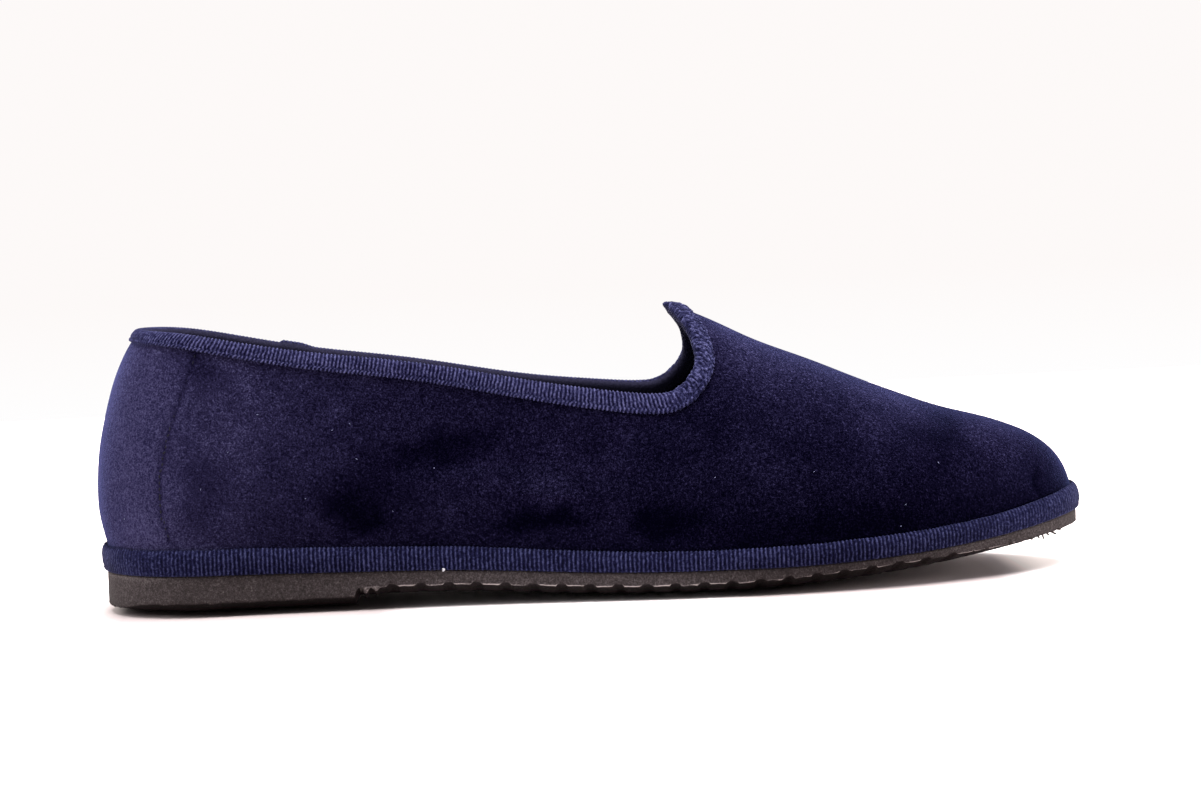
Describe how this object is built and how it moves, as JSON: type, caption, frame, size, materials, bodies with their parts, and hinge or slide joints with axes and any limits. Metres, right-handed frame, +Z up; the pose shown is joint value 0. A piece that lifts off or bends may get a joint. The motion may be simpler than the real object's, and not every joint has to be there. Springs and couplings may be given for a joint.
{
  "type": "slipper loafer",
  "caption": "Low velvet slip-on shoe with a heart-shaped throat, ribbed tape round topline and sole edge, and a thin rubber sole with a low heel.",
  "frame": {"origin": "middle of the shoe's footprint box on the floor", "axes": "+X towards the toe, +Y towards the inner side of the foot, +Z up"},
  "size_m": [0.2666, 0.0926, 0.0762],
  "materials": {
    "outsole": "matte dark brown rubber",
    "upper": "navy velvet",
    "insole": "dark fabric",
    "heel_counter": "dark fabric",
    "topline_binding": "ribbed tape",
    "foxing_band": "ribbed tape"
  },
  "bodies": {
    "root": {"outsole": "outsole", "upper": "upper", "insole": "insole", "heel_counter": "heel_counter", "topline_binding": "topline_binding", "foxing_band": "foxing_band"}
  },
  "joints": []
}
